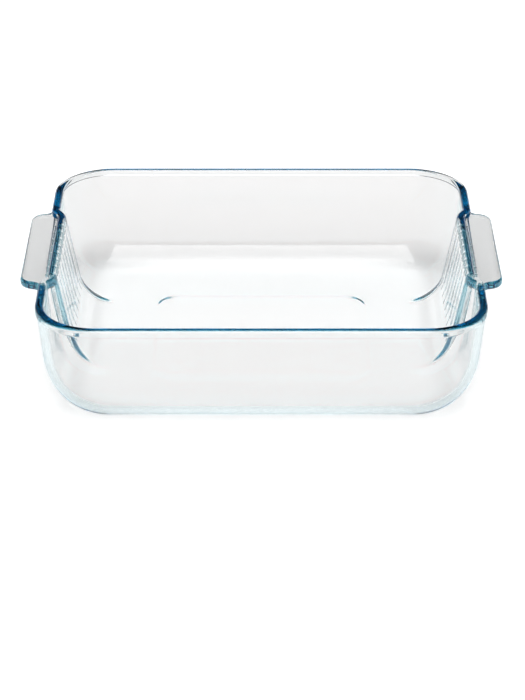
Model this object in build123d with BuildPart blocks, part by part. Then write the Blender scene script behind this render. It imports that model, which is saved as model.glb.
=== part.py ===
from build123d import *
import os
from math import atan, cos, radians, sin, sqrt, tan

# A pressed glass lasagna dish with a lug handle at each end.
# Lengths are in millimetres. The dish is long in X, deep in Y and stands on z = 0.

# Driving dimensions
overall_length = 290.0
body_width = 238.0
body_height = 66.0
glass_wall = 4.8
corner_radius = 37.0
corner_follow_share = 0.9

# The rim, a bead round the mouth that stands a little proud of the wall
rim_height = 4.6
rim_overhang = 0.8
rim_rounding = 1.8
rim_underside_rounding = 0.4

# Wall draft in degrees, and the radius that sweeps each wall into the floor
end_draft = 5.9
end_sweep = 35.5
side_draft = 4.9
side_sweep = 22.5

# The hand recess, where the middle of each end wall is set back under its handle
recess_depth = 4.6
recess_length = 96.0
recess_bend = 13.0
recess_draft = 11.3
recess_sweep = 30.0

# The lug handles, flat plates that grow out of the rim over the recesses and narrow towards their tips
handle_reach = 12.0
handle_drop = 2.0
handle_thickness = 5.0
handle_root_length = 104.0
handle_taper = 3.5
handle_corner = 9.0
handle_edge_rounding = 1.6

# Upright grip ribs on the outside of each recess
rib_count = 8
rib_pitch = 10.0
rib_width = 3.2
rib_height = 1.3
rib_rounding = 1.1
rib_run_angle = 15.0
rib_end_angle = 26.0

# The foot, the lowest part of the body round a shallow panel in its underside
foot_height = 0.6
panel_end_margin = 67.0
panel_side_margin = 64.0
panel_corner = 13.0

# How far a handle's root reaches in before it is trimmed against the rim and the wall
overrun = 3.0

# The largest share of a thickness that a rounding on it may take
rounding_share = 0.45

# Numbers of section levels in the swept part of the wall and in the drafted part above it
sweep_levels = 8
draft_levels = 4

body_length = overall_length - 2 * handle_reach
half_length = body_length / 2
half_width = body_width / 2
rim_base = body_height - rim_height
handle_top = body_height - handle_drop
handle_bottom = handle_top - handle_thickness
handle_tip_length = handle_root_length - 2 * handle_taper
panel_length = body_length - 2 * panel_end_margin
panel_breadth = body_width - 2 * panel_side_margin
bend_start = (recess_length - recess_bend) / 2
bend_end = (recess_length + recess_bend) / 2


def inset(height, draft, sweep, skin):
    """How far the wall lies inside the rim line at a height, on a surface skin deep in the glass."""
    angle = radians(draft)
    inner_sweep = sweep - skin
    if height > sweep - inner_sweep * sin(angle):
        return rim_overhang + skin / cos(angle) + (rim_base - height) * tan(angle)
    centre = rim_overhang + (rim_base - sweep) * tan(angle) + sweep / cos(angle)
    drop = sweep - height
    return centre - sqrt(max(inner_sweep**2 - drop**2, 0))


def draw_plan(end, side, recess, corner, skin):
    """Draw the plan outline: recessed flats, double bends, ends, round corners and sides."""
    depth = end - recess
    turn = 2 * atan(depth / recess_bend)
    bend = recess_bend / (2 * sin(turn))
    inner_bend = bend + skin
    with BuildLine() as plan:
        flat = Line((recess, 0), (recess, bend_start))
        middle = (recess + inner_bend * (1 - cos(turn)), bend_start + inner_bend * sin(turn))
        first = TangentArc(flat @ 1, middle, tangent=flat % 1)
        second = TangentArc(first @ 1, (end, bend_end), tangent=first % 1)
        shoulder = Line(second @ 1, (end, side - corner))
        turned = TangentArc(shoulder @ 1, (end - corner, side), tangent=shoulder % 1)
        Line(turned @ 1, (0, side))
        mirror(about=Plane.XZ)
        mirror(about=Plane.YZ)
    make_face(plan.edges())


def draw_wall_plan(height, skin):
    """Draw the outline of the wall at a height, skin deep in the glass."""
    end_inset = inset(height, end_draft, end_sweep, skin)
    side_inset = inset(height, side_draft, side_sweep, skin)
    recess_inset = inset(height, recess_draft, recess_sweep, skin)
    corner = corner_radius - corner_follow_share * (end_inset + side_inset) / 2
    draw_plan(
        half_length - end_inset,
        half_width - side_inset,
        half_length - recess_depth - recess_inset,
        corner,
        skin,
    )


def wall_levels(skin):
    """Heights of the sections, closer together where the wall sweeps into the floor."""
    full_turn = 90 - recess_draft
    turns = [radians(full_turn * step / sweep_levels) for step in range(sweep_levels + 1)]
    swept = [skin + (recess_sweep - skin) * (1 - cos(turn)) for turn in turns]
    rise = (rim_base - swept[-1]) / draft_levels
    return swept + [swept[-1] + rise * step for step in range(1, draft_levels)] + [rim_base]


# The body's outer form below the rim, filled in
with BuildPart() as body_blank:
    for level in wall_levels(0):
        with BuildSketch(Plane.XY.offset(level)):
            draw_wall_plan(level, 0)
    loft()

# The hollow that holds the food
with BuildPart() as hollow:
    for level in wall_levels(glass_wall):
        with BuildSketch(Plane.XY.offset(level)):
            draw_wall_plan(level, glass_wall)
    loft()

# Basin: the floor and walls between the foot and the underside of the rim
with BuildPart() as basin:
    add(body_blank.part)
    add(hollow.part, mode=Mode.SUBTRACT)
    split(bisect_by=Plane.XY.offset(foot_height), keep=Keep.TOP)
basin.part.label = "basin"

# Base ring: the body below that, round the panel
with BuildPart() as base_ring:
    add(body_blank.part)
    split(bisect_by=Plane.XY.offset(foot_height), keep=Keep.BOTTOM)
    with BuildSketch(Plane.XY):
        RectangleRounded(panel_length, panel_breadth, panel_corner)
    extrude(amount=foot_height, mode=Mode.SUBTRACT)
base_ring.part.label = "base_ring"

# The rim's outer form, filled in
rim_edge = min(rim_rounding, rounding_share * glass_wall, rounding_share * rim_height)
with BuildPart() as rim_blank:
    with BuildSketch(Plane.XY.offset(rim_base)):
        draw_plan(half_length, half_width, half_length - recess_depth, corner_radius, -rim_overhang)
    extrude(amount=rim_height)
    blank_faces = rim_blank.faces().sort_by(Axis.Z)
    fillet(blank_faces[-1].edges(), rim_edge)
    fillet(blank_faces[0].edges(), min(rim_underside_rounding, rounding_share * rim_overhang))

# Rim: the bead all round the mouth
with BuildPart() as rim:
    add(rim_blank.part)
    with BuildSketch(Plane.XY.offset(rim_base)):
        draw_wall_plan(rim_base, glass_wall)
    extrude(amount=rim_height, mode=Mode.SUBTRACT)
    fillet(rim.faces().sort_by(Axis.Z)[-1].inner_wires()[0].edges(), rim_edge)
rim.part.label = "rim"

# Right handle: a plate that flares into the rim, with round corners at its tip
handle_root = half_length - recess_depth - rim_overhang - overrun
with BuildPart() as right_handle:
    with BuildSketch(Plane.XY.offset(handle_bottom)) as plate:
        with BuildLine():
            Polyline(
                (handle_root, -handle_root_length / 2),
                (half_length, -handle_root_length / 2),
                (overall_length / 2, -handle_tip_length / 2),
                (overall_length / 2, handle_tip_length / 2),
                (half_length, handle_root_length / 2),
                (handle_root, handle_root_length / 2),
                close=True,
            )
        make_face()
        fillet(plate.vertices().group_by(Axis.X)[-1], handle_corner)
    extrude(amount=handle_thickness)
    handle_faces = right_handle.faces().sort_by(Axis.Z)
    for face in (handle_faces[0], handle_faces[-1]):
        fillet(face.edges().sort_by(Axis.X)[1:], min(handle_edge_rounding, rounding_share * handle_thickness))
    add(rim_blank.part, mode=Mode.SUBTRACT)
    add(body_blank.part, mode=Mode.SUBTRACT)
right_handle.part.label = "right_handle"

# Left handle: the right one mirrored
with BuildPart() as left_handle:
    mirror(right_handle.part, about=Plane.YZ)
left_handle.part.label = "left_handle"

# The recess sweep's centre line, which the grip ribs follow
recess_lean = radians(recess_draft)
sweep_centre_inset = (rim_base - recess_sweep) * tan(recess_lean) + recess_sweep / cos(recess_lean)
sweep_centre_x = half_length - recess_depth - rim_overhang - sweep_centre_inset


def beside_sweep(radius, turn):
    """A point at a radius from the centre of the recess sweep, turned down from level in degrees."""
    angle = radians(turn)
    return (sweep_centre_x + radius * cos(angle), recess_sweep - radius * sin(angle))


# One grip rib: it follows the recess wall down from the handle and runs out in the sweep
rib_crest = recess_sweep + rib_height
rib_tip = beside_sweep(recess_sweep, rib_end_angle)
rib_bend = beside_sweep(rib_crest, recess_draft)
rib_top = (rib_bend[0] + (handle_bottom - rib_bend[1]) * tan(recess_lean), handle_bottom)
with BuildPart() as rib:
    with BuildSketch(Plane.XZ):
        with BuildLine():
            down = Line(rib_top, rib_bend)
            swept = TangentArc(down @ 1, beside_sweep(rib_crest, rib_run_angle), tangent=down % 1)
            inside = [(sweep_centre_x, rib_tip[1]), (sweep_centre_x, handle_bottom)]
            Polyline(swept @ 1, rib_tip, *inside, rib_top)
        make_face()
    extrude(amount=rib_width / 2, both=True)
    crest_edges = rib.edges().filter_by_position(Axis.X, rib_tip[0], overall_length)
    fillet(crest_edges - crest_edges.filter_by(Axis.Y), min(rib_rounding, rounding_share * rib_width))
    add(body_blank.part, mode=Mode.SUBTRACT)

# Right grip ribs: a row of upright ribs under the handle
with BuildPart() as right_grip_ribs:
    for place in range(rib_count):
        with Locations((0, (place - (rib_count - 1) / 2) * rib_pitch, 0)):
            add(rib.part)
right_grip_ribs.part.label = "right_grip_ribs"

# Left grip ribs: the right ones mirrored
with BuildPart() as left_grip_ribs:
    mirror(right_grip_ribs.part, about=Plane.YZ)
left_grip_ribs.part.label = "left_grip_ribs"

pieces = [basin, base_ring, rim, left_handle, right_handle, left_grip_ribs, right_grip_ribs]
os.makedirs("parts", exist_ok=True)
for piece in pieces:
    export_step(piece.part, f"parts/{piece.part.label}.step")
    print(piece.part.label, len(piece.part.solids()), round(piece.part.volume))
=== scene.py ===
import math

import bpy
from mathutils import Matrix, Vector


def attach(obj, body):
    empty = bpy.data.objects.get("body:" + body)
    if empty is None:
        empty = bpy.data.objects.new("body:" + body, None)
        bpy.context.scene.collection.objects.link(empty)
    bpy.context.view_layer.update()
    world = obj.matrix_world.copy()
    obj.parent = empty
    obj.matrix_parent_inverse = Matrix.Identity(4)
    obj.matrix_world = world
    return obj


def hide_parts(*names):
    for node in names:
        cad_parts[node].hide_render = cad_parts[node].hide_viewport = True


# A pressed glass lasagna dish. Lengths are in metres. The dish is long in X, its back is at +Y.

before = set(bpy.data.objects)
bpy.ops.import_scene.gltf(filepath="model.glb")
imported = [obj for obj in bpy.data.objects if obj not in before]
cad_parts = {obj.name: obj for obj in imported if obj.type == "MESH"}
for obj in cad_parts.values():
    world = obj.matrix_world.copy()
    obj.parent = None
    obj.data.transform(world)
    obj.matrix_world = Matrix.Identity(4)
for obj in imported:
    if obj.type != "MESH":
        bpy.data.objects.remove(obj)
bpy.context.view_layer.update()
scene = bpy.context.scene
mm = 0.001
quarter_turn = math.pi / 2
white = (1, 1, 1, 1)

# The dish's sizes, the inputs of its Geometry Nodes tree. They are those of the solids, but the ribs are a
# little wider, the panel is shallower, and the roots of rim and handles and the panel's edge are softened.
dish_sizes = {
    "Overall length": 290 * mm,
    "Body width": 238 * mm,
    "Body height": 66 * mm,
    "Glass wall": 4.8 * mm,
    "Corner radius": 37 * mm,
    "Corner follow share": 0.9,
    "Rim height": 4.6 * mm,
    "Rim overhang": 0.8 * mm,
    "Rim rounding": 1.8 * mm,
    "Rim underside rounding": 0.4 * mm,
    "Rim root rounding": 0.3 * mm,
    "End draft": math.radians(5.9),
    "End sweep": 35.5 * mm,
    "Side draft": math.radians(4.9),
    "Side sweep": 22.5 * mm,
    "Recess depth": 4.6 * mm,
    "Recess length": 96 * mm,
    "Recess bend": 13 * mm,
    "Recess draft": math.radians(11.3),
    "Recess sweep": 30 * mm,
    "Handle reach": 12 * mm,
    "Handle drop": 2 * mm,
    "Handle thickness": 5 * mm,
    "Handle root length": 104 * mm,
    "Handle taper": 3.5 * mm,
    "Handle corner": 9 * mm,
    "Handle root rounding": 3 * mm,
    "Handle edge rounding": 1.6 * mm,
    "Rib count": 8,
    "Rib pitch": 10 * mm,
    "Rib width": 3.8 * mm,
    "Rib height": 1.3 * mm,
    "Rib run height": 23 * mm,
    "Rib end height": 17 * mm,
    "Foot height": 0.4 * mm,
    "Panel end margin": 67 * mm,
    "Panel side margin": 64 * mm,
    "Panel corner": 13 * mm,
    "Panel edge width": 2.4 * mm,
    "Panel run-out": 13.5 * mm,
}


class Value:
    """A socket of a node tree. Sums with it add Math nodes to the tree."""

    def __init__(self, tree, socket):
        self.tree = tree
        self.socket = socket

    def __add__(self, other):
        return self.tree.math("ADD", self, other)

    def __radd__(self, other):
        return self.tree.math("ADD", other, self)

    def __sub__(self, other):
        return self.tree.math("SUBTRACT", self, other)

    def __rsub__(self, other):
        return self.tree.math("SUBTRACT", other, self)

    def __mul__(self, other):
        return self.tree.math("MULTIPLY", self, other)

    def __rmul__(self, other):
        return self.tree.math("MULTIPLY", other, self)

    def __truediv__(self, other):
        return self.tree.math("DIVIDE", self, other)

    def __rtruediv__(self, other):
        return self.tree.math("DIVIDE", other, self)

    def __gt__(self, other):
        return self.tree.math("GREATER_THAN", self, other)

    def __lt__(self, other):
        return self.tree.math("LESS_THAN", self, other)

    def of(self, operation, *others):
        """Any other Math node, such as SINE or MINIMUM."""
        return self.tree.math(operation, self, *others)

    def within(self, low, high):
        """Held between two values."""
        return self.of("MAXIMUM", low).of("MINIMUM", high)

    def squared(self):
        return self * self

    def eased(self, start, end):
        """0 before start, 1 after end, and smooth between them."""
        settings = {"interpolation_type": "SMOOTHSTEP"}
        values = {"Value": self, "From Min": start, "From Max": end}
        return self.tree.value("ShaderNodeMapRange", settings, values)


class Tree:
    """A node tree of shaders or shapes, and the few ways in which this script adds to it."""

    def __init__(self, node_tree):
        self.node_tree = node_tree

    def node(self, kind, settings=None, values=None):
        """A node: its settings are set first, and then the values or links of its sockets."""
        made = self.node_tree.nodes.new(kind)
        for name, setting in (settings or {}).items():
            setattr(made, name, setting)
        for key, value in (values or {}).items():
            if isinstance(value, Value):
                self.node_tree.links.new(value.socket, made.inputs[key])
            else:
                made.inputs[key].default_value = value
        return made

    def value(self, kind, settings=None, values=None, output=0):
        return Value(self, self.node(kind, settings, values).outputs[output])

    def math(self, operation, *values):
        return self.value("ShaderNodeMath", {"operation": operation}, dict(enumerate(values)))

    def mix(self, share, first, second):
        """The first value where share is 0 and the second where it is 1."""
        return self.value("ShaderNodeMix", {}, {"Factor": share, "A": first, "B": second})

    def vector(self, x, y, z):
        return self.value("ShaderNodeCombineXYZ", {}, {"X": x, "Y": y, "Z": z})

    def parts(self, vector):
        made = self.node("ShaderNodeSeparateXYZ", {}, {"Vector": vector})
        return [Value(self, socket) for socket in made.outputs]


# Shape of the dish

# Steps along a quarter of the outline, from the middle of an end to the middle of a side
outline_steps = {"grip": 78, "handle_end": 36, "shoulder": 8, "corner": 22, "side": 12}
# Steps from the middle of the underside round over the rim to the middle of the inner floor
row_steps = {
    "panel": 1,
    "panel_edge": 8,
    "foot": 2,
    "outer_sweep": 20,
    "outer_wall": 18,
    "below_rim": 7,
    "rim_root": 3,
    "rim_underside": 6,
    "rim_face": 10,
    "rim_outer_edge": 7,
    "rim_top": 1,
    "rim_inner_edge": 7,
    "inner_wall": 8,
    "inner_sweep": 16,
    "inner_floor": 3,
}
# Steps of the rows that are drawn out to a handle, from its root below round its tip to its root above
handle_row_steps = {
    "root_below": 4,
    "bottom": 7,
    "lower_edge": 4,
    "tip": 1,
    "upper_edge": 4,
    "top": 5,
    "root_above": 1,
}
# Steps in each rounding of a handle's outline
handle_rounding_steps = 16

# Points lie on whole steps, so this share of a step tells a point on a line from the next one
step_margin = 0.25
half_step = 0.5

# The panel's edge is narrow round its corners and runs out along its sides. In shares of a corner's turn, it
# is narrow as far as the first reach from this middle, and has its full run-out from the second.
panel_arc_middle = 0.3
panel_arc_reaches = (0.2, 0.7)

# The largest share of a handle's reach that the rounding of its edge takes
edge_rounding_share = 0.45
# The rounding under a handle's root, as a share of its edge rounding, and how much less far it goes on top
root_rounding_share = 0.7
upper_root_share = 0.3
# The shortest reach that the rounding at the root is worked out for, as a share of the rim's rounding
least_reach_share = 0.1

# The least depth that a recess is drawn with, because its bends need some
least_recess = 0.01 * mm
# Points closer than this become one, which closes the seam and the two middles
weld_distance = 0.004 * mm


def slow_start(share):
    """Goes from 0 to 1 as the drop of a quarter circle does, slowly at first."""
    return 1 - (share * quarter_turn).of("COSINE")


def slow_end(share):
    """Goes from 0 to 1 as the run of a quarter circle does, slowly at last."""
    return (share * quarter_turn).of("SINE")


class Steps:
    """A row of steps that is cut into named stretches, each with its own number of steps."""

    def __init__(self, tree, place, counts):
        self.tree = tree
        self.first, self.share, self.passed = {}, {}, {}
        first = 0
        for name, count in counts.items():
            self.first[name] = first
            self.share[name] = ((place - first) / count).within(0, 1)
            self.passed[name] = place > first + step_margin
            first += count

    def follow(self, shapes):
        """A value that follows one rule after another.

        A stretch without a rule keeps the value that was reached before it.
        """
        result = None
        for name, shape in shapes.items():
            value = shape(self.share[name])
            result = value if result is None else self.tree.mix(self.passed[name], result, value)
        return result


def wall_inset(size, tree, height, draft, sweep, skin):
    """How far the wall lies inside the rim line at a height, on a surface skin deep in the glass."""
    slope, lean = draft.of("TANGENT"), draft.of("COSINE")
    inner_sweep = sweep - skin
    rim_base = size["Body height"] - size["Rim height"]
    straight = size["Rim overhang"] + skin / lean + (rim_base - height) * slope
    centre = size["Rim overhang"] + (rim_base - sweep) * slope + sweep / lean
    drop = sweep - height
    across = (inner_sweep.squared() - drop.squared()).of("MAXIMUM", 0).of("SQRT")
    is_straight = height > sweep - inner_sweep * draft.of("SINE")
    return tree.mix(is_straight, centre - across, straight)


def dish_tree():
    """The tree that bends one grid into the whole closed surface of the dish."""
    group = bpy.data.node_groups.new("dish_shape", "GeometryNodeTree")
    tree = Tree(group)
    for name in dish_sizes:
        group.interface.new_socket(name=name, in_out="INPUT", socket_type="NodeSocketFloat")
    group.interface.new_socket(name="Glass", in_out="INPUT", socket_type="NodeSocketMaterial")
    group.interface.new_socket(name="Dish", in_out="OUTPUT", socket_type="NodeSocketGeometry")
    inputs = tree.node("NodeGroupInput")
    size = {name: Value(tree, inputs.outputs[name]) for name in dish_sizes}

    # One grid: its columns go round the dish, its rows from the underside over the rim to the inner floor
    quarter = sum(outline_steps.values())
    around, across = 4 * quarter, sum(row_steps.values())
    grid_values = {"Size X": around, "Size Y": across, "Vertices X": around + 1, "Vertices Y": across + 1}
    grid = tree.value("GeometryNodeMeshGrid", {}, grid_values)
    grid_x, grid_y, _ = tree.parts(tree.value("GeometryNodeInputPosition"))
    station = grid_x + around / 2
    side_sign = 1 - 2 * (station > around / 2)
    end_sign = 2 * ((station - around / 2).of("ABSOLUTE") > quarter) - 1
    outline = Steps(tree, station.of("PINGPONG", quarter), outline_steps)
    rows = Steps(tree, grid_y + across / 2, row_steps)

    # Main measures
    half_length = size["Overall length"] / 2 - size["Handle reach"]
    half_width = size["Body width"] / 2
    panel_half_length = half_length - size["Panel end margin"]
    panel_half_width = half_width - size["Panel side margin"]
    top, wall = size["Body height"], size["Glass wall"]
    rim_base = top - size["Rim height"]
    edge_rounding, root_rounding = size["Rim rounding"], size["Rim root rounding"]
    underside_rounding = size["Rim underside rounding"]
    handle_top = top - size["Handle drop"]
    handle_bottom = handle_top - size["Handle thickness"]
    wall_top = handle_bottom - size["Handle edge rounding"]
    straight_y = half_width - size["Corner radius"]
    sweep, inner_sweep = size["Recess sweep"], size["Recess sweep"] - wall
    full_turn = quarter_turn - size["Recess draft"]
    sweep_share = 1 - full_turn.of("COSINE")
    bend_start = (size["Recess length"] - size["Recess bend"]) / 2
    bend_end = (size["Recess length"] + size["Recess bend"]) / 2

    # Height of each row
    height = rows.follow({
        "panel_edge": lambda t: size["Foot height"] * (1 + (t * math.pi).of("COSINE")) / 2,
        "outer_sweep": lambda t: sweep * (1 - (full_turn * t).of("COSINE")),
        "outer_wall": lambda t: tree.mix(t, sweep * sweep_share, wall_top),
        "below_rim": lambda t: tree.mix(t, wall_top, rim_base - root_rounding),
        "rim_root": lambda t: rim_base - root_rounding * (1 - slow_end(t)),
        "rim_underside": lambda t: rim_base + underside_rounding * slow_start(t),
        "rim_face": lambda t: tree.mix(t, rim_base + underside_rounding, top - edge_rounding),
        "rim_outer_edge": lambda t: top - edge_rounding * (1 - slow_end(t)),
        "rim_inner_edge": lambda t: top - edge_rounding * slow_start(t),
        "inner_wall": lambda t: tree.mix(t, top - edge_rounding, wall + inner_sweep * sweep_share),
        "inner_sweep": lambda t: wall + inner_sweep * (1 - (full_turn * (1 - t)).of("COSINE")),
    })
    skin = wall * rows.share["rim_top"]
    shrink = rows.follow({"panel": lambda t: t, "inner_floor": lambda t: 1 - t})
    # 1 on the rows whose points keep their place along an end, so that recess and ribs stand upright
    held = rows.share["foot"]
    # The panel's edge lies half inside its outline and half outside
    from_arc = (outline.share["corner"] - panel_arc_middle).of("ABSOLUTE")
    edge_width = tree.mix(from_arc.eased(*panel_arc_reaches), size["Panel edge width"], size["Panel run-out"])
    from_panel = edge_width * (rows.share["panel_edge"] - 0.5)

    def half_size(half, panel_half, draft, sweep):
        """Half the outline's length or width on each row."""
        surface = half - wall_inset(size, tree, height, draft, sweep, skin)
        return rows.follow({
            "panel_edge": lambda t: panel_half + from_panel,
            "foot": lambda t: tree.mix(t, panel_half + from_panel, surface),
            "outer_sweep": lambda t: surface,
            "rim_root": lambda t: surface + root_rounding * slow_start(t),
            "rim_underside": lambda t: tree.mix(slow_end(t), surface + root_rounding, half),
            "rim_outer_edge": lambda t: half - edge_rounding * slow_start(t),
            "rim_top": lambda t: tree.mix(t, half - edge_rounding, surface + edge_rounding),
            "rim_inner_edge": lambda t: surface + edge_rounding * (1 - slow_end(t)),
        })

    recess_line = half_length - size["Recess depth"]
    end_half = half_size(half_length, panel_half_length, size["End draft"], size["End sweep"])
    side_half = half_size(half_width, panel_half_width, size["Side draft"], size["Side sweep"])
    recess_half = half_size(recess_line, panel_half_length, size["Recess draft"], sweep)
    mean_inset = (half_length - end_half + half_width - side_half) / 2
    follow_radius = (size["Corner radius"] - size["Corner follow share"] * mean_inset).of("MAXIMUM", wall)
    corner = rows.follow({
        "panel_edge": lambda t: size["Panel corner"] + from_panel,
        "foot": lambda t: tree.mix(t, size["Panel corner"] + from_panel, follow_radius),
        "outer_sweep": lambda t: follow_radius,
    })

    # Place along an end
    root_half = size["Handle root length"] / 2
    tip_half = root_half - size["Handle taper"]
    grip_end = tip_half - size["Handle corner"]
    handle_end = root_half + size["Handle root rounding"]
    end_y = outline.follow({
        "grip": lambda t: grip_end * t,
        "handle_end": lambda t: tree.mix(t, grip_end, handle_end),
        "shoulder": lambda t: tree.mix(t, handle_end, straight_y),
    })

    def outline_x(y, end, recess, deep):
        """Place in X along an end: the recess, its double bend and the shoulder."""
        turn = 2 * ((end - recess).of("MAXIMUM", least_recess) / size["Recess bend"]).of("ARCTANGENT")
        turn_sine = turn.of("SINE")
        bend = size["Recess bend"] / (2 * turn_sine)
        first, second = bend + deep, bend - deep
        first_run = (y - bend_start).within(0, first * turn_sine)
        second_run = (bend_end - y).within(0, second * turn_sine)
        first_rise = first - (first.squared() - first_run.squared()).of("SQRT")
        second_rise = (second.squared() - second_run.squared()).of("SQRT") - second * turn.of("COSINE")
        return recess + first_rise + second_rise

    # The body: its ends, its round corners and its sides
    loose = tree.mix(held, 1, end_y.eased(bend_end, straight_y))
    y_end = end_y * (1 + loose * ((side_half - corner) / straight_y - 1))
    x_end = outline_x(y_end, end_half, recess_half, skin)
    round_corner = outline.share["corner"]
    body_x = x_end - corner * slow_start(round_corner) - (end_half - corner) * outline.share["side"]
    body_y = y_end + corner * slow_end(round_corner)

    # Grip ribs: upright swellings of the outer wall under the handle
    pitch = size["Rib pitch"]
    beside_rib = (end_y.of("PINGPONG", pitch) - pitch / 2).of("ABSOLUTE")
    in_row = end_y < size["Rib count"] / 2 * pitch
    rib = size["Rib height"] * (1 - beside_rib.eased(0, size["Rib width"] / 2)) * in_row
    outside = (rows.share["outer_sweep"] > 0) * (1 - rows.passed["rim_underside"])
    body_rib = rib * outside * height.eased(size["Rib end height"], size["Rib run height"])

    # The handle's outline: the middle of its tip, the tip's corner, its root and a point on the shoulder
    tip_corner, root, point_count = 1, 2, 4
    point = tree.value("GeometryNodeInputIndex")
    at_tip = point < tip_corner + half_step
    before_shoulder = point < root + half_step
    beside_rim = half_length - size["Rim overhang"] * before_shoulder
    path_x = tree.mix(at_tip, beside_rim, size["Overall length"] / 2)
    path_y = tree.mix(at_tip, tree.mix(before_shoulder, handle_end, root_half), tip_half * point)
    line = tree.value("GeometryNodeMeshLine", {}, {"Count": point_count})
    line_values = {"Geometry": line, "Position": tree.vector(path_x, path_y, 0)}
    placed = tree.value("GeometryNodeSetPosition", {}, line_values)
    sharp = tree.value("GeometryNodeMeshToCurve", {}, {"Mesh": placed})
    rounding = tree.mix(at_tip, size["Handle root rounding"], size["Handle corner"])
    rounding_values = {"Curve": sharp, "Count": handle_rounding_steps, "Radius": rounding}
    path = tree.value("GeometryNodeFilletCurve", {"mode": "POLY"}, rounding_values)
    length = tree.value("GeometryNodeCurveLength", {}, {"Curve": path})
    reached = outline.follow({
        "grip": lambda t: grip_end * t,
        "handle_end": lambda t: tree.mix(t, grip_end, length),
    })
    sample = tree.node("GeometryNodeSampleCurve", {"mode": "LENGTH"}, {"Curves": path, "Length": reached})
    tip_x, tip_y, _ = tree.parts(Value(tree, sample.outputs["Position"]))
    way_x, way_y, _ = tree.parts(Value(tree, sample.outputs["Tangent"]))

    # The handle's rows: the rows of the rim's face are drawn out to that outline and back
    below = rim_base - handle_bottom
    root_end = half_length - size["Rim overhang"] - below * size["End draft"].of("TANGENT")
    root_recess = recess_line - size["Rim overhang"] - below * size["Recess draft"].of("TANGENT")
    rim_x = outline_x(end_y, half_length, recess_line, 0)
    root_x = outline_x(end_y, root_end, root_recess, 0) + rib
    reach = ((tip_x - rim_x).squared() + (tip_y - end_y).squared()).of("SQRT")
    edge = (reach * edge_rounding_share).of("MINIMUM", size["Handle edge rounding"])
    inner_x = tip_x - edge * way_y
    inner_y = tip_y + edge * way_x
    root_fillet = edge * root_rounding_share
    fillet_share = root_fillet / reach.of("MAXIMUM", edge_rounding * least_reach_share)
    upper_fillet_share = fillet_share * upper_root_share
    drawn_rows = Steps(tree, grid_y + across / 2 - rows.first["below_rim"], handle_row_steps)
    handle_height = drawn_rows.follow({
        "root_below": lambda t: handle_bottom - root_fillet * (1 - slow_end(t)),
        "lower_edge": lambda t: handle_bottom + edge * slow_start(t),
        "tip": lambda t: tree.mix(t, handle_bottom + edge, handle_top - edge),
        "upper_edge": lambda t: handle_top - edge * (1 - slow_end(t)),
        "root_above": lambda t: tree.mix(t, handle_top, top - edge_rounding),
    })
    outward = drawn_rows.follow({
        "root_below": lambda t: fillet_share * slow_start(t),
        "bottom": lambda t: tree.mix(t, fillet_share, 1),
        "top": lambda t: tree.mix(t, 1, upper_fillet_share),
        "root_above": lambda t: upper_fillet_share * (1 - t),
    })
    bulge = drawn_rows.follow({
        "lower_edge": slow_end,
        "upper_edge": lambda t: (t * quarter_turn).of("COSINE"),
    })
    start_x = tree.mix(drawn_rows.passed["tip"], root_x, rim_x)
    plate_x = tree.mix(outward, start_x, inner_x) + bulge * edge * way_y
    plate_y = tree.mix(outward, end_y, inner_y) - bulge * edge * way_x
    in_rows = rows.passed["below_rim"] * (1 - rows.passed["rim_outer_edge"])
    drawn = reach.eased(0, edge_rounding) * in_rows * (1 - outline.passed["shoulder"])

    # The grid is bent, closed and given its glass
    full_x = tree.mix(drawn, body_x + body_rib, plate_x) * end_sign * shrink
    full_y = tree.mix(drawn, body_y, plate_y) * side_sign * shrink
    place = tree.vector(full_x, full_y, tree.mix(drawn, height, handle_height))
    bent = tree.value("GeometryNodeSetPosition", {}, {"Geometry": grid, "Position": place})
    closed = tree.value("GeometryNodeMergeByDistance", {}, {"Geometry": bent, "Distance": weld_distance})
    smooth = tree.value("GeometryNodeSetShadeSmooth", {}, {"Geometry": closed})
    real = tree.value("GeometryNodeRealizeInstances", {}, {"Geometry": smooth})
    glass_values = {"Geometry": real, "Material": Value(tree, inputs.outputs["Glass"])}
    finished = tree.value("GeometryNodeSetMaterial", {}, glass_values)
    tree.node("NodeGroupOutput", {}, {"Dish": finished})
    return group


def made_by_nodes(name, group, sizes, material):
    """A plain mesh piece from a Geometry Nodes tree, whose named inputs are set before it is evaluated."""
    helper = bpy.data.objects.new(name + "_helper", bpy.data.meshes.new(name + "_helper"))
    scene.collection.objects.link(helper)
    modifier = helper.modifiers.new("shape", "NODES")
    modifier.node_group = group
    for item in group.interface.items_tree:
        if item.in_out == "INPUT":
            modifier[item.identifier] = material if item.name == "Glass" else float(sizes[item.name])
    evaluated = helper.evaluated_get(bpy.context.evaluated_depsgraph_get())
    mesh = bpy.data.meshes.new_from_object(evaluated)
    mesh.name = name
    helper.modifiers.remove(modifier)
    bpy.data.objects.remove(helper)
    piece = bpy.data.objects.new(name, mesh)
    scene.collection.objects.link(piece)
    return piece


# Materials

# The glass is tinted blue-green over long paths inside it. Its warm surface colour takes that tint back out
# of light that only crosses the walls.
glass_surface_colour = (1, 0.935, 0.922, 1)
glass_depth_colour = (0, 0.66, 0.79, 1)
glass_depth_density = 18.0
glass_refraction = 1.47
# Waves from the mould
wave_scale, wave_detail = 28.0, 1.0
wave_strength, wave_height = 0.07, 0.3 * mm
# Wear, where the fine noise rises through this range
wear_scale, wear_detail = 900.0, 2.0
wear_range = (0.45, 0.75)
wear_roughness = 0.02

floor_colour = (0.8, 0.8, 0.8, 1)
floor_grain_scale = 60.0
floor_grain_roughness = 0.2
# How much the floor glows. Seen directly, it is lifted to white. Seen through glass, it is lifted less beside
# the dish and more beneath it. The extra beneath the dish is a painted pool of light that fills the dish's
# shadow.
floor_lift = {"seen directly": 0.6, "painted light beneath the dish": 0.82, "beside the dish": 0.4}
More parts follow.
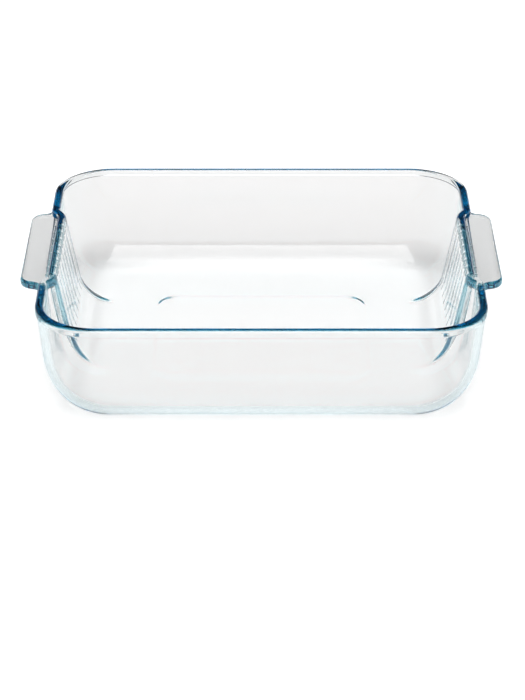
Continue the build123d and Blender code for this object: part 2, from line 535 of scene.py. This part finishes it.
# Painted light: seen through glass, the floor's painted glow beneath the dish turns into the lower lift
# beside it. This happens between these distances from a point a little behind the dish's middle, so the glow
# covers the dish's shadow. Distances in X count at this share, because the dish is longer than it is deep.
painted_light_reach = (0.094, 0.122)
painted_light_x_share = 0.8
painted_light_middle_y = 0.004


def new_material(name):
    material = bpy.data.materials.new(name)
    material.use_nodes = True
    material.node_tree.nodes.clear()
    return material, Tree(material.node_tree)


def clear_glass():
    """Clear pressed glass with faint waves, slight wear and a tint that shows over long paths."""
    material, tree = new_material("clear_pressed_glass")
    spot = tree.value("ShaderNodeTexCoord", output="Object")
    wave_values = {"Vector": spot, "Scale": wave_scale, "Detail": wave_detail}
    waves = tree.value("ShaderNodeTexNoise", {}, wave_values)
    wear_values = {"Vector": spot, "Scale": wear_scale, "Detail": wear_detail}
    wear = tree.value("ShaderNodeTexNoise", {}, wear_values).eased(*wear_range)
    bump_values = {"Strength": wave_strength, "Distance": wave_height, "Height": waves}
    bump = tree.value("ShaderNodeBump", {}, bump_values)
    surface = tree.value("ShaderNodeBsdfPrincipled", {}, {
        "Base Color": glass_surface_colour,
        "Roughness": wear * wear_roughness,
        "IOR": glass_refraction,
        "Transmission Weight": 1.0,
        "Normal": bump,
    })
    depth_values = {"Color": glass_depth_colour, "Density": glass_depth_density}
    volume = tree.value("ShaderNodeVolumeAbsorption", {}, depth_values)
    tree.node("ShaderNodeOutputMaterial", {}, {"Surface": surface, "Volume": volume})
    return material


def floor_material():
    """The pale floor. Seen directly, it shows white and keeps the dish's shadow. Seen through glass, it looks
    a little greyer, and beneath the dish a painted glow fills the dish's shadow.
    """
    material, tree = new_material("pale_floor")
    spot = tree.value("ShaderNodeTexCoord", output="Object")
    grain = tree.value("ShaderNodeTexNoise", {}, {"Vector": spot, "Scale": floor_grain_scale})
    path = tree.node("ShaderNodeLightPath")
    rays = ("Camera", "Glossy", "Transmission")
    seen, glossy, through = (Value(tree, path.outputs[f"Is {ray} Ray"]) for ray in rays)
    # The fourth root of a sum of fourth powers, which is the same all along a square with round corners
    x, y, _ = tree.parts(spot)
    fourth_powers = (x * painted_light_x_share).squared().squared() + (y - painted_light_middle_y).squared().squared()
    away = fourth_powers.of("POWER", 1 / 4)
    # Painted light: seen through glass, the floor glows brighter beneath the dish, where the dish's shadow
    # falls
    painted_floor_light = tree.mix(away.eased(*painted_light_reach), floor_lift["painted light beneath the dish"], floor_lift["beside the dish"])
    lift = seen * floor_lift["seen directly"] + (glossy + through).within(0, 1) * (1 - seen) * painted_floor_light
    diffuse_values = {"Color": floor_colour, "Roughness": grain * floor_grain_roughness}
    diffuse = tree.value("ShaderNodeBsdfDiffuse", {}, diffuse_values)
    shine = tree.value("ShaderNodeEmission", {}, {"Color": white, "Strength": lift})
    both = tree.value("ShaderNodeAddShader", {}, {0: diffuse, 1: shine})
    tree.node("ShaderNodeOutputMaterial", {}, {"Surface": both})
    return material


# The dish
glass = clear_glass()
dish = made_by_nodes("glass_dish", dish_tree(), dish_sizes, glass)
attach(dish, "root")
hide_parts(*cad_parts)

# Floor, just clear of the dish's foot
floor_reach = 4
floor_drop = -0.1 * mm
floor_mesh = bpy.data.meshes.new("floor")
signs = [(-1, -1), (1, -1), (1, 1), (-1, 1)]
corners = [(x_sign * floor_reach, y_sign * floor_reach, floor_drop) for x_sign, y_sign in signs]
floor_mesh.from_pydata(corners, [], [(0, 1, 2, 3)])
floor = bpy.data.objects.new("floor", floor_mesh)
floor_mesh.materials.append(floor_material())
scene.collection.objects.link(floor)

# World: a white horizon under a dark ceiling, which begins where the way up is in this range
ceiling_range = (0.1, 0.25)
horizon_brightness, ceiling_brightness = 1, 0.03
world = bpy.data.worlds.new("studio")
world.use_nodes = True
world.node_tree.nodes.clear()
scene.world = world
air = Tree(world.node_tree)
_, _, way_up = air.parts(air.value("ShaderNodeTexCoord", output="Generated"))
brightness = air.mix(way_up.eased(*ceiling_range), horizon_brightness, ceiling_brightness)
background = air.value("ShaderNodeBackground", {}, {"Color": white, "Strength": brightness})
air.node("ShaderNodeOutputWorld", {}, {"Surface": background})


def softbox(name, place, width, depth, power):
    """A rectangular lamp that faces straight down."""
    data = bpy.data.lights.new(name, "AREA")
    data.shape = "RECTANGLE"
    data.size, data.size_y = width, depth
    data.energy = power
    lamp = bpy.data.objects.new(name, data)
    lamp.location = place
    scene.collection.objects.link(lamp)


softbox("top_softbox", place=(0, -1.27, 1.8), width=1.5, depth=4.25, power=54)

# Camera, as fitted to the photo. The photo's measures are in its pixels.
photo_width, photo_height = 525, 700
photo_focal_length = 2545
photo_centre_x, photo_centre_y = 261.35, 243.9
camera_tilt = math.radians(24.95)
camera_distance = 1.5675
sensor_width = 36
camera_data = bpy.data.cameras.new("camera")
camera = bpy.data.objects.new("camera", camera_data)
scene.collection.objects.link(camera)
scene.camera = camera
rim_middle = Vector((0, 0, dish_sizes["Body height"]))
from_rim = Vector((0, -math.cos(camera_tilt), math.sin(camera_tilt)))
camera.location = rim_middle + camera_distance * from_rim
camera.rotation_euler = (quarter_turn - camera_tilt, 0, 0)
camera_data.sensor_fit = "AUTO"
camera_data.sensor_width = sensor_width
camera_data.lens = sensor_width * photo_focal_length / photo_height
camera_data.shift_x = (photo_width / 2 - photo_centre_x) / photo_height
camera_data.shift_y = -(photo_height / 2 - photo_centre_y) / photo_height
camera_data.clip_start = 10 * mm

scene.view_settings.view_transform = "Standard"
# Light runs a long way inside the rim before it comes out
light_bounces = 48
scene.cycles.max_bounces = light_bounces
scene.cycles.transmission_bounces = light_bounces
scene.cycles.glossy_bounces = light_bounces
